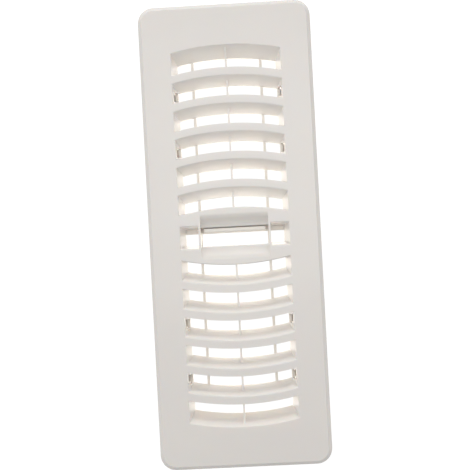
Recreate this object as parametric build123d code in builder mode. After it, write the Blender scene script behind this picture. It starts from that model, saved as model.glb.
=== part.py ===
"""Floor register: a louvred face plate with a duct collar, and a sliding damper under the louvres.

Millimetres. X runs across the register, Y along it and Z up through the face.
The origin is under the middle of the collar, at the level of its lower edge.
The damper is drawn a little short of its open stop, and it closes by moving along -Y.
"""
import os
from math import asin, atan, cos, degrees, sqrt

from build123d import *

# Duct and collar
duct_width = 76.2
duct_length = 254.0
side_clearance = 2.5
end_clearance = 2.0
collar_depth = 38.0
collar_wall = 1.6
collar_corner = 4.0
collar_lead_in = 0.6

# Face plate and its rim
side_overhang = 18.6
end_overhang = 21.05
plate_corner = 9.8
rim_height = 5.5
rim_wall = 2.0
rim_bevel = 2.4
rim_round = 0.8
skin = 2.0

# Louvres, all curved to one radius
nominal_pitch = 17.5
arc_radius = 157.0
louvre_depth = 10.0
louvre_face = 5.05
louvre_foot = 10.6
louvre_wall = 1.4
louvre_top = 1.8
inner_round = 1.0
outer_round = 0.6

# Walls of the louvred field
field_step = 0.5
end_lean = 7.2
side_lean = 3.35
field_wall = 1.5
field_round = 0.6
centre_rib = 1.2
rib_rise = 5.0

# Centre bands, finger scoops and the cheeks beside them
band_edge = 18.1
pocket_edge = 7.0
pocket_lean = 1.9
scoop_half = 21.4
scoop_lip = 6.0
scoop_run = 5.9
scoop_depth = 4.0
scoop_round = 4.4
cheek = 1.3

# Windows in the side walls and the catches below them, at every second slot from the third
window_length = 5.8
window_shift = 1.1
catch_length = 5.2
catch_reach = 1.6
catch_nose = 0.8
catch_ramp = 2.4

# Ribs under the flange
flange_rib = 1.2
flange_rib_lift = 0.6
side_ribs = 5
end_rib_spacing = 36.0

# Damper
slide_thickness = 2.0
slide_play = 0.3
side_play = 0.5
stop_play = 0.3
rest_gap = 0.7
bar_lap = 1.3
centre_lap = 1.0
rail_width = 1.7
rail_inset = 0.55
side_rail = 2.0
handle_thickness = 2.7
handle_end_gap = 1.9
handle_play = 0.1
handle_sink = 2.2
handle_round = 0.8

# Levels
floor_z = collar_depth
face_z = floor_z + rim_height
foot_z = face_z - louvre_depth
slide_z = foot_z - slide_play - slide_thickness
catch_z = slide_z - slide_play

# Outlines
collar_width = duct_width - 2 * side_clearance
collar_length = duct_length - 2 * end_clearance
plate_width = collar_width + 2 * side_overhang
plate_length = collar_length + 2 * end_overhang
collar_half = collar_width / 2 - collar_wall
field_half = collar_half + field_step
slide_half = collar_half - side_play

# Slot spacing: at the open stop the damper's end bar just clears the collar's end wall
slide_reach = collar_length / 2 - collar_wall - stop_play
slots_reach = slide_reach - band_edge + louvre_foot - bar_lap
slots = round(slots_reach / nominal_pitch - 0.5)
pitch = slots_reach / (slots + 0.5)
slot_clear = pitch - louvre_foot
bar_width = slot_clear + 2 * bar_lap
travel = pitch / 2
rest_offset = travel - rest_gap
end_edge = band_edge + slots * pitch - louvre_foot + end_lean


def slot_edge(number):
    """Y of the inner side of a slot at the centre line: 0 is the slot beside the band."""
    return band_edge + number * pitch


def slot_middle(number):
    """Y of the middle of a slot at the centre line."""
    return slot_edge(number) + slot_clear / 2


def sag(x):
    """How far a louvre's curve has fallen back at a distance x from the centre line."""
    return arc_radius - sqrt(arc_radius**2 - x**2)


catch_ys = [
    end * (slot_middle(number) + window_shift - sag(collar_half))
    for end in (-1, 1)
    for number in range(2, slots - 1, 2)
]


def field_block(widen):
    """Solid filling the louvred field, with leaning side walls and curved leaning ends."""
    half = field_half + widen
    reach = end_edge + widen
    foot_radius = arc_radius - end_lean
    low = (Align.CENTER, Align.CENTER, Align.MIN)
    with BuildPart() as block:
        with BuildSketch(Plane.XZ):
            with BuildLine():
                Polyline(
                    (-half, face_z),
                    (half, face_z),
                    (half - side_lean, foot_z),
                    (side_lean - half, foot_z),
                    close=True,
                )
            make_face()
        extrude(amount=reach, both=True)
        with Locations((0, reach - arc_radius, foot_z)):
            Cone(foot_radius, arc_radius, louvre_depth, align=low, mode=Mode.INTERSECT)
        with Locations((0, arc_radius - reach, foot_z)):
            Cone(foot_radius, arc_radius, louvre_depth, align=low, mode=Mode.INTERSECT)
    return block.part


# One louvre, a little longer than the field is wide: a curved channel, open below,
# with an upright outer wall and an inner wall that leans towards the middle
louvre_lean = louvre_foot - louvre_face
lean_wall = louvre_wall / cos(atan(louvre_lean / louvre_depth))
hollow_corner = louvre_face + louvre_lean * louvre_top / louvre_depth - lean_wall
louvre_sweep = 2 * degrees(asin((field_half + field_wall) / (arc_radius - louvre_foot)))
with BuildPart() as louvre:
    with BuildSketch(Plane.XZ) as louvre_section:
        with BuildLine():
            Polyline(
                (arc_radius, foot_z),
                (arc_radius, face_z),
                (arc_radius - louvre_face, face_z),
                (arc_radius - louvre_foot, foot_z),
                (arc_radius - louvre_foot + lean_wall, foot_z),
                (arc_radius - hollow_corner, face_z - louvre_top),
                (arc_radius - louvre_wall, face_z - louvre_top),
                (arc_radius - louvre_wall, foot_z),
                close=True,
            )
        make_face()
        top_corners = louvre_section.vertices().group_by(Axis.Y)[-1].sort_by(Axis.X)
        fillet(top_corners[0], inner_round)
        fillet(top_corners[1], outer_round)
    revolve(axis=Axis.Z, revolution_arc=louvre_sweep)

# Centre band on the +Y side: flat-topped channel with a scoop in its middle stretch
scoop_radius = (scoop_run**2 + scoop_depth**2) / (2 * scoop_depth)
scoop_centre = (scoop_lip, face_z - scoop_depth + scoop_radius)
past_edge = band_edge + 1
with BuildPart() as band_hollow:
    with BuildSketch(Plane.YZ):
        with BuildLine():
            Polyline(
                (pocket_edge - pocket_lean + louvre_wall, foot_z),
                (pocket_edge + louvre_wall, face_z - louvre_top),
                (past_edge, face_z - louvre_top),
                (past_edge, foot_z),
                close=True,
            )
        make_face()
    extrude(amount=field_half, both=True)
    with BuildSketch(Plane.YZ):
        with Locations((scoop_lip, foot_z)):
            Rectangle(past_edge, louvre_depth, align=(Align.MIN, Align.MIN))
    extrude(amount=scoop_half + cheek, both=True, mode=Mode.SUBTRACT)
    with BuildSketch(Plane.YZ):
        with Locations((scoop_lip + louvre_wall, foot_z)):
            Rectangle(past_edge, louvre_depth - louvre_top, align=(Align.MIN, Align.MIN))
        with Locations(scoop_centre):
            Circle(scoop_radius + louvre_wall, mode=Mode.SUBTRACT)
    extrude(amount=scoop_half, both=True)
    with BuildSketch(Plane.XY.offset(foot_z)):
        with Locations((0, band_edge - arc_radius)):
            Circle(arc_radius - louvre_wall)
    extrude(amount=louvre_depth, mode=Mode.INTERSECT)

with BuildPart() as band:
    with BuildSketch(Plane.YZ) as pocket_section:
        with BuildLine():
            Polyline(
                (pocket_edge - pocket_lean, foot_z),
                (pocket_edge, face_z),
                (past_edge, face_z),
                (past_edge, foot_z),
                close=True,
            )
        make_face()
        fillet(pocket_section.vertices().group_by(Axis.Y)[-1].sort_by(Axis.X)[0], inner_round)
    extrude(amount=field_half + field_wall, both=True)
    with BuildSketch(Plane.YZ):
        with Locations((0, foot_z)):
            Rectangle(past_edge, louvre_depth, align=(Align.MIN, Align.MIN))
    extrude(amount=scoop_half, both=True, mode=Mode.SUBTRACT)
    with BuildSketch(Plane.YZ) as scoop_section:
        with Locations((scoop_lip, foot_z)):
            Rectangle(past_edge - scoop_lip, louvre_depth, align=(Align.MIN, Align.MIN))
        with Locations(scoop_centre):
            Circle(scoop_radius, mode=Mode.SUBTRACT)
        fillet(scoop_section.vertices().group_by(Axis.Y)[-1].sort_by(Axis.X)[0], scoop_round)
    extrude(amount=scoop_half, both=True)
    with BuildSketch(Plane.XY.offset(foot_z)):
        with Locations((0, band_edge - arc_radius)):
            Circle(arc_radius)
    extrude(amount=louvre_depth, mode=Mode.INTERSECT)
    fillet(
        band.faces().sort_by(Axis.Z)[-1].edges().filter_by(GeomType.CIRCLE).sort_by(Axis.Y)[-1],
        outer_round,
    )
    add(band_hollow.part, mode=Mode.SUBTRACT)

# Everything that spans the field, trimmed to the middle of the field's own walls
with BuildPart() as grille:
    add(band.part)
    turned = (0, 0, 90 - louvre_sweep / 2)
    for number in range(1, slots):
        with Locations(Location((0, slot_edge(number) - arc_radius, 0), turned)):
            add(louvre.part)
    with BuildSketch(Plane.YZ):
        with BuildLine():
            Polyline(
                (band_edge - louvre_wall, foot_z),
                (band_edge - louvre_wall, foot_z + rib_rise),
                (slot_edge(slots - 1), foot_z + rib_rise),
                (end_edge - end_lean * skin / louvre_depth, face_z - skin),
                (end_edge - end_lean, foot_z),
                close=True,
            )
        make_face()
    extrude(amount=centre_rib / 2, both=True)
    mirror(about=Plane.XZ)
    with BuildSketch(Plane.XY.offset(foot_z)):
        with Locations((scoop_half + cheek / 2, 0), (-scoop_half - cheek / 2, 0)):
            Rectangle(cheek, 2 * (band_edge - sag(scoop_half + cheek)) - louvre_wall)
    extrude(amount=louvre_depth)
    add(field_block(field_wall / 2), mode=Mode.INTERSECT)

# Two catches, one on each side wall, with a ramp below that the damper snaps past
with BuildPart() as catch_pair:
    with BuildSketch(Plane.XZ):
        with BuildLine():
            Polyline(
                (collar_half + collar_wall / 2, catch_z),
                (collar_half - catch_reach, catch_z),
                (collar_half - catch_reach, catch_z - catch_nose),
                (collar_half + collar_wall / 2, catch_z - catch_nose - catch_ramp),
                close=True,
            )
        make_face()
        mirror(about=Plane.YZ)
    extrude(amount=catch_length / 2, both=True)

with BuildPart() as face_plate:
    # Plate, bevelled at its rim and hollow underneath
    with BuildSketch(Plane.XY.offset(floor_z)):
        RectangleRounded(plate_width, plate_length, plate_corner)
    extrude(amount=rim_height)
    chamfer(face_plate.faces().sort_by(Axis.Z)[-1].edges(), rim_bevel)
    bevel_foot = face_plate.edges().group_by(Axis.Z)[-3]
    fillet(bevel_foot, rim_round)
    with BuildSketch(Plane.XY.offset(floor_z)):
        RectangleRounded(
            plate_width - 2 * rim_wall, plate_length - 2 * rim_wall, plate_corner - rim_wall
        )
    extrude(amount=rim_height - skin, mode=Mode.SUBTRACT)

    # Ribs under the flange, from the collar to the rim
    with BuildSketch(Plane.XY.offset(floor_z + flange_rib_lift)):
        with GridLocations(0, plate_length / (side_ribs + 1), 1, side_ribs):
            Rectangle(plate_width - rim_wall, flange_rib)
        with GridLocations(end_rib_spacing, 0, 2, 1):
            Rectangle(flange_rib, plate_length - rim_wall)
        Rectangle(collar_width - collar_wall, collar_length - collar_wall, mode=Mode.SUBTRACT)
    extrude(amount=rim_height - skin - flange_rib_lift)

    # Collar that drops into the duct
    with BuildSketch():
        RectangleRounded(collar_width, collar_length, collar_corner)
        RectangleRounded(
            collar_width - 2 * collar_wall,
            collar_length - 2 * collar_wall,
            collar_corner - collar_wall,
            mode=Mode.SUBTRACT,
        )
    extrude(amount=face_z - skin)
    chamfer(face_plate.faces().sort_by(Axis.Z)[0].outer_wire().edges(), collar_lead_in)

    # Leaning walls round the louvred field
    add(field_block(field_wall))
    add(field_block(0), mode=Mode.SUBTRACT)
    fillet(face_plate.faces().sort_by(Axis.Z)[-1].inner_wires()[0].edges(), field_round)

    # Windows straight down through the side walls, each above a catch for the damper
    with BuildSketch(Plane.XY.offset(foot_z)):
        with Locations([(0, y) for y in catch_ys]):
            Rectangle(2 * collar_half, window_length)
    extrude(amount=louvre_depth, mode=Mode.SUBTRACT)
    with Locations([(0, y) for y in catch_ys]):
        add(catch_pair.part)

    add(grille.part)

# Damper: curved bars on four rails, with a raised finger bar on its middle bar
with BuildSketch() as curved_bar:
    Circle(arc_radius + bar_width / 2)
    Circle(arc_radius - bar_width / 2, mode=Mode.SUBTRACT)
    with Locations((0, arc_radius)):
        Rectangle(2 * slide_half, arc_radius / 2, mode=Mode.INTERSECT)

last_middle = slot_middle(slots - 1)
rail_middle = scoop_half - rail_inset + rail_width / 2
side_rail_middle = slide_half - side_rail / 2
handle_low = scoop_lip - handle_play - rest_gap - handle_thickness
with BuildPart() as damper_slide:
    with BuildSketch(Plane.XY.offset(slide_z)):
        for number in range(slots):
            with Locations(Location((0, slot_middle(number) + rest_offset - arc_radius))):
                add(curved_bar.sketch)
            with Locations(Location((0, rest_offset - slot_middle(number) + arc_radius), (0, 0, 180))):
                add(curved_bar.sketch)
        with Locations((0, rest_offset)):
            Rectangle(2 * slide_half, 2 * (pocket_edge - pocket_lean + centre_lap))
            with GridLocations(2 * rail_middle, 0, 2, 1):
                Rectangle(rail_width, 2 * last_middle)
            with GridLocations(2 * side_rail_middle, 0, 2, 1):
                Rectangle(side_rail, 2 * (last_middle - sag(side_rail_middle)))
    extrude(amount=slide_thickness)
    with BuildSketch(Plane.XY.offset(slide_z + slide_thickness)):
        with Locations((0, handle_low + handle_thickness / 2)):
            RectangleRounded(2 * (scoop_half - handle_end_gap), handle_thickness, handle_round)
    extrude(amount=face_z - handle_sink - slide_z - slide_thickness)
    fillet(damper_slide.faces().sort_by(Axis.Z)[-1].edges(), handle_round)

face_plate.part.label = "face_plate"
damper_slide.part.label = "damper_slide"

os.makedirs("parts", exist_ok=True)
export_step(face_plate.part, "parts/face_plate.step")
export_step(damper_slide.part, "parts/damper_slide.step")
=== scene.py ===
"""Looks of the floor register: moulded off-white plastic on a plain pale floor, seen from above.

Everything is in metres, in the same frame as the solids. No piece is added to the register.
"""
import math

import bpy
from mathutils import Euler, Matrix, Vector


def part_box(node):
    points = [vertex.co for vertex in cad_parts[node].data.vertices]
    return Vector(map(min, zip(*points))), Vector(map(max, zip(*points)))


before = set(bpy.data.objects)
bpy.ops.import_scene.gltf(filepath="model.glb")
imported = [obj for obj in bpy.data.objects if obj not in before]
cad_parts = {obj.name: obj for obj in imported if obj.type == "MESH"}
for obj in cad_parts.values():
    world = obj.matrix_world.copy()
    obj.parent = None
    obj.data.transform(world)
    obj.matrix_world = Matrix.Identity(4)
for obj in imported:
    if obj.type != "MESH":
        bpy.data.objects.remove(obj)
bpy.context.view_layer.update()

# The photograph's camera: above the face, a little right of its middle and all but square to it.
# The turns are in degrees, and the last one is the photograph's roll.
PHOTO_SIDE_PX = 470
FOCAL_PX = 972.8
SENSOR_MM = 36.0
NEAR_CLIP = 0.01
CAMERA_HEIGHT = 0.610
CAMERA_OFFSET = (0.0169, 0.0036)
CAMERA_TURNS = (-0.377, 1.555, -3.018)

# Floor
WHITE = (1.0, 1.0, 1.0, 1.0)
BLACK = (0.0, 0.0, 0.0, 1.0)
SHEET_ROUGHNESS = 0.9
FLOOR_SIDE = 6.0
FLOOR_GLOW = 0.85
FLOOR_COLOUR = (0.35, 0.35, 0.345, 1.0)

# White ground seen through the slots, and just above it the light that comes up the duct
GROUND_Z = 0.0002
GROUND_GLOW = 1.0
DUCT_LIGHT_Z = 0.0005
DUCT_GLOW = 1.4
DUCT_COLOUR = (0.95, 0.945, 0.935, 1.0)
DUCT_TINT = (1.0, 0.975, 0.935, 1.0)
COLLAR_WALL = 0.0016
COLLAR_RING = 0.001

# Sky and lamps: places and sizes in metres, powers in watts
SKY_COLOUR = (0.992, 0.985, 0.975, 1.0)
SKY_STRENGTH = 0.31
LAMP_COLOUR = (0.992, 0.99, 0.985)
LAMP_TARGET = (0.0, 0.0, 0.04)
LAMPS = {
    "ceiling": {"place": (-0.03, 0.30, 1.0), "size": (1.4, 1.3), "power": 0.95},
    "key": {"place": (0.0, 0.10, 0.95), "size": (0.4, 0.4), "power": 1.07},
    "left": {"place": (-1.1, 0.0, 0.75), "size": (0.6, 1.2), "power": 4.4},
    "right": {"place": (1.1, 0.0, 0.75), "size": (0.6, 1.2), "power": 3.6},
    "far": {"place": (0.0, 1.3, 0.40), "size": (1.2, 0.4), "power": 7.2, "gloss": False},
}

# Plastic: depth is how far light spreads below the surface, for red, green and blue
ROUGHNESS = 0.27
PLASTIC_IOR = 1.49
PLATE_DEPTH = 0.35
DAMPER_DEPTH = 0.1
DEPTH_RADIUS = (1.0, 0.8, 0.6)
DEPTH_SCALE = 0.0015
PLATE_COLOUR = (0.888, 0.857, 0.824, 1.0)
DAMPER_COLOUR = (0.92, 0.875, 0.805, 1.0)
MOTTLE_SHADE = 0.955
MOTTLE_SCALE = 28.0
MOTTLE_DETAIL = 4.0
GRAIN_SCALE = 1400.0
GRAIN_DETAIL = 2.0
GRAIN_STRENGTH = 0.12
GRAIN_HEIGHT = 0.00008
SHARP_ANGLE = 32


def add_camera():
    """Places the camera over the face, with the photograph's small tilt, roll and framing."""
    _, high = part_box("face_plate")
    data = bpy.data.cameras.new("camera")
    data.sensor_width = SENSOR_MM
    data.lens = SENSOR_MM * FOCAL_PX / PHOTO_SIDE_PX
    data.clip_start = NEAR_CLIP
    camera = bpy.data.objects.new("camera", data)
    camera.location = (*CAMERA_OFFSET, high.z + CAMERA_HEIGHT)
    camera.rotation_euler = Euler([math.radians(turn) for turn in CAMERA_TURNS], "XYZ")
    bpy.context.scene.collection.objects.link(camera)
    bpy.context.scene.camera = camera


def new_material(name):
    """A new material, with its nodes and links."""
    material = bpy.data.materials.new(name)
    material.use_nodes = True
    return material, material.node_tree.nodes, material.node_tree.links


def add_noise(nodes, links, place, scale, detail):
    """A noise pattern fixed to the object."""
    noise = nodes.new("ShaderNodeTexNoise")
    noise.inputs["Scale"].default_value = scale
    noise.inputs["Detail"].default_value = detail
    links.new(place.outputs["Object"], noise.inputs["Vector"])
    return noise


def moulded_plastic(name, colour, depth_weight):
    """Satin injection-moulded plastic: faint mottle in colour, fine grain in the surface."""
    material, nodes, links = new_material(name)
    shader = nodes["Principled BSDF"]
    shader.inputs["Roughness"].default_value = ROUGHNESS
    shader.inputs["IOR"].default_value = PLASTIC_IOR
    shader.inputs["Subsurface Weight"].default_value = depth_weight
    shader.inputs["Subsurface Radius"].default_value = DEPTH_RADIUS
    shader.inputs["Subsurface Scale"].default_value = DEPTH_SCALE
    place = nodes.new("ShaderNodeTexCoord")
    mottle = add_noise(nodes, links, place, MOTTLE_SCALE, MOTTLE_DETAIL)
    tint = nodes.new("ShaderNodeMix")
    tint.data_type = "RGBA"
    tint.inputs["A"].default_value = colour
    tint.inputs["B"].default_value = tuple(MOTTLE_SHADE * part for part in colour[:3]) + (1.0,)
    links.new(mottle.outputs["Fac"], tint.inputs["Factor"])
    links.new(tint.outputs["Result"], shader.inputs["Base Color"])
    grain = add_noise(nodes, links, place, GRAIN_SCALE, GRAIN_DETAIL)
    bump = nodes.new("ShaderNodeBump")
    bump.inputs["Strength"].default_value = GRAIN_STRENGTH
    bump.inputs["Distance"].default_value = GRAIN_HEIGHT
    links.new(grain.outputs["Fac"], bump.inputs["Height"])
    links.new(bump.outputs["Normal"], shader.inputs["Normal"])
    return material


def dress(node, material):
    """Gives a CAD node its material and smooth shading with crisp edges."""
    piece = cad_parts[node]
    piece.data.materials.clear()
    piece.data.materials.append(material)
    piece.data.set_sharp_from_angle(angle=math.radians(SHARP_ANGLE))


def add_pale_sheet(name, size, height, colour, glow, tint=WHITE):
    """A level sheet that glows, as the photograph's bleached background does."""
    bpy.ops.mesh.primitive_plane_add(size=1.0, location=(0.0, 0.0, height))
    sheet = bpy.context.object
    sheet.name = name
    sheet.scale = (*size, 1.0)
    material, nodes, _ = new_material(name)
    shader = nodes["Principled BSDF"]
    shader.inputs["Base Color"].default_value = colour
    shader.inputs["Roughness"].default_value = SHEET_ROUGHNESS
    shader.inputs["Emission Color"].default_value = tint
    shader.inputs["Emission Strength"].default_value = glow
    sheet.data.materials.append(material)
    return sheet


def duct_size():
    """Width and length inside the collar, from the lowest points of the plate."""
    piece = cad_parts["face_plate"]
    points = [piece.matrix_world @ vertex.co for vertex in piece.data.vertices]
    lowest = min(point.z for point in points)
    ring = [point for point in points if point.z < lowest + COLLAR_RING]
    outside = [max(point[side] for point in ring) for side in (0, 1)]
    return [2.0 * (reach - COLLAR_WALL) for reach in outside]


def add_ground():
    """The pale floor, and inside the collar the ground that is seen and the light that isn't."""
    floor = add_pale_sheet("floor", (FLOOR_SIDE, FLOOR_SIDE), 0.0, FLOOR_COLOUR, FLOOR_GLOW)
    floor.visible_diffuse = False
    inside = duct_size()
    add_pale_sheet("duct_floor", inside, GROUND_Z, BLACK, GROUND_GLOW)
    light = add_pale_sheet("duct_light", inside, DUCT_LIGHT_Z, DUCT_COLOUR, DUCT_GLOW, DUCT_TINT)
    light.visible_camera = False


def add_lamp(name, place, size, power, gloss=True):
    """A soft rectangular light that faces the register's face."""
    data = bpy.data.lights.new(name, "AREA")
    data.shape = "RECTANGLE"
    data.size, data.size_y = size
    data.energy = power
    data.color = LAMP_COLOUR
    lamp = bpy.data.objects.new(name, data)
    lamp.location = place
    lamp.rotation_euler = (Vector(LAMP_TARGET) - Vector(place)).to_track_quat("-Z", "Y").to_euler()
    lamp.visible_glossy = gloss
    bpy.context.scene.collection.objects.link(lamp)


def add_light():
    """Soft studio light: an even sky, a ceiling, a small key, both sides and a low far light."""
    world = bpy.data.worlds.new("sky")
    world.use_nodes = True
    background = world.node_tree.nodes["Background"]
    background.inputs["Color"].default_value = SKY_COLOUR
    background.inputs["Strength"].default_value = SKY_STRENGTH
    bpy.context.scene.world = world
    for name, lamp in LAMPS.items():
        add_lamp(name, **lamp)


bpy.context.scene.view_settings.view_transform = "Standard"
add_camera()
add_ground()
add_light()
dress("face_plate", moulded_plastic("plate_plastic", PLATE_COLOUR, PLATE_DEPTH))
dress("damper_slide", moulded_plastic("damper_plastic", DAMPER_COLOUR, DAMPER_DEPTH))
